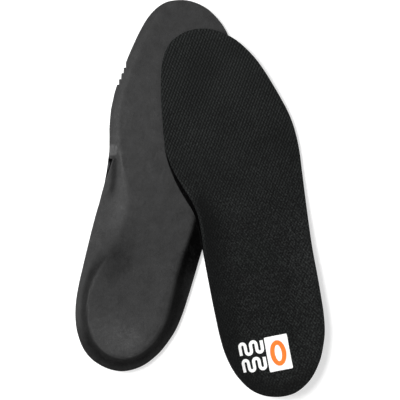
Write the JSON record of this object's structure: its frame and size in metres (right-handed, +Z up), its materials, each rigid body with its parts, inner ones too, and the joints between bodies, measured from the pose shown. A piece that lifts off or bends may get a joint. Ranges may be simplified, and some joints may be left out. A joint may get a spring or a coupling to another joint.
{
  "type": "pair of cushioned insoles",
  "caption": "Full-length cushioned shoe insoles with heel cup and arch flange: the left one lies sole side up, the right one fabric side up across it.",
  "frame": {"origin": "middle of the pair's footprint, on the surface that it lies on", "axes": "+Z up, +Y from the heels towards the toes along the pair's longest side, +X across towards the right insole"},
  "size_m": [0.1782, 0.283, 0.0322],
  "materials": {
    "knit_fabric": "black ribbed twill knit, matt",
    "comfort_foam": "open-cell foam, trimmed edge, matt",
    "base_foam": "charcoal moulded foam, fine matt skin",
    "heel_gel": "soft cushioning polymer, satin",
    "print_white": "white transfer film, satin",
    "print_orange": "orange transfer film, satin"
  },
  "bodies": {
    "left_insole": {"top_cover_left": "knit_fabric", "comfort_foam_left": "comfort_foam", "foam_base_left": "base_foam", "heel_pad_left": "heel_gel", "print_panel_left": "print_white", "print_ring_left": "print_orange", "print_dot_left": "print_white", "print_wave_front_left": "print_white", "print_wave_back_left": "print_white"},
    "right_insole": {"top_cover_rear_right": "knit_fabric", "comfort_foam_rear_right": "comfort_foam", "foam_base_rear_right": "base_foam", "heel_pad_right": "heel_gel", "print_panel_right": "print_white", "print_ring_right": "print_orange", "print_dot_right": "print_white", "print_wave_front_right": "print_white", "print_wave_back_right": "print_white"},
    "right_toe": {"top_cover_toe_right": "knit_fabric", "comfort_foam_toe_right": "comfort_foam", "foam_base_toe_right": "base_foam"}
  },
  "joints": [
    {"name": "lift_off", "type": "slide", "parent": "left_insole", "child": "right_insole", "axis": [0, 0, 1], "range_m": [0, 0.06]},
    {"name": "toe_flex", "type": "hinge", "parent": "right_insole", "child": "right_toe", "pos_m": [0.02272, 0.03778, 0.01314], "axis": [0.9836, -0.0753, -0.1641], "range_deg": [0, 50], "stiffness_Nm_per_rad": 0.08}
  ]
}
